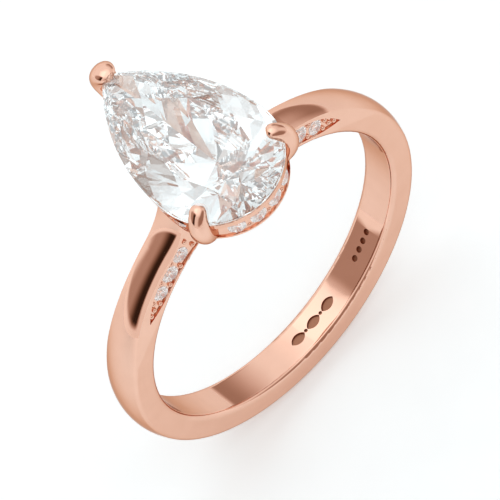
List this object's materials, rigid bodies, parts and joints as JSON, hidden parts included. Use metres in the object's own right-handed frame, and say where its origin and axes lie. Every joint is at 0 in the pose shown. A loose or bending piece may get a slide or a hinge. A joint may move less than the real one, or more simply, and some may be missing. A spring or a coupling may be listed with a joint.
{
  "type": "engagement ring",
  "caption": "Pear-cut solitaire ring: rounded rose gold band, rising shoulders with side pave, three claws and a hidden halo of small stones under the centre stone.",
  "frame": {"origin": "centre of the finger hole, on its axis and midway across the band", "axes": "+Z from the finger hole towards the centre stone, +Y along the finger towards the point of the pear, X across the band"},
  "size_m": [0.0198, 0.0117, 0.0241],
  "materials": {
    "rose_gold": "high polish",
    "centre_diamond": "faceted and polished",
    "melee_diamond": "faceted and polished"
  },
  "bodies": {
    "root": {"centre_stone": "centre_diamond", "claw_left": "rose_gold", "claw_point": "rose_gold", "claw_right": "rose_gold", "gallery_rail": "rose_gold", "halo_collar": "rose_gold", "halo_melee_01": "melee_diamond", "halo_melee_02": "melee_diamond", "halo_melee_03": "melee_diamond", "halo_melee_04": "melee_diamond", "halo_melee_05": "melee_diamond", "halo_melee_06": "melee_diamond", "halo_melee_07": "melee_diamond", "halo_melee_08": "melee_diamond", "halo_melee_09": "melee_diamond", "halo_melee_10": "melee_diamond", "halo_melee_11": "melee_diamond", "halo_melee_12": "melee_diamond", "halo_melee_13": "melee_diamond", "halo_melee_14": "melee_diamond", "halo_melee_15": "melee_diamond", "halo_melee_16": "melee_diamond", "halo_melee_17": "melee_diamond", "halo_melee_18": "melee_diamond", "shank": "rose_gold", "shoulder_melee_back_left_1": "melee_diamond", "shoulder_melee_back_left_2": "melee_diamond", "shoulder_melee_back_left_3": "melee_diamond", "shoulder_melee_back_right_1": "melee_diamond", "shoulder_melee_back_right_2": "melee_diamond", "shoulder_melee_back_right_3": "melee_diamond", "shoulder_melee_front_left_1": "melee_diamond", "shoulder_melee_front_left_2": "melee_diamond", "shoulder_melee_front_left_3": "melee_diamond", "shoulder_melee_front_right_1": "melee_diamond", "shoulder_melee_front_right_2": "melee_diamond", "shoulder_melee_front_right_3": "melee_diamond"}
  },
  "joints": []
}
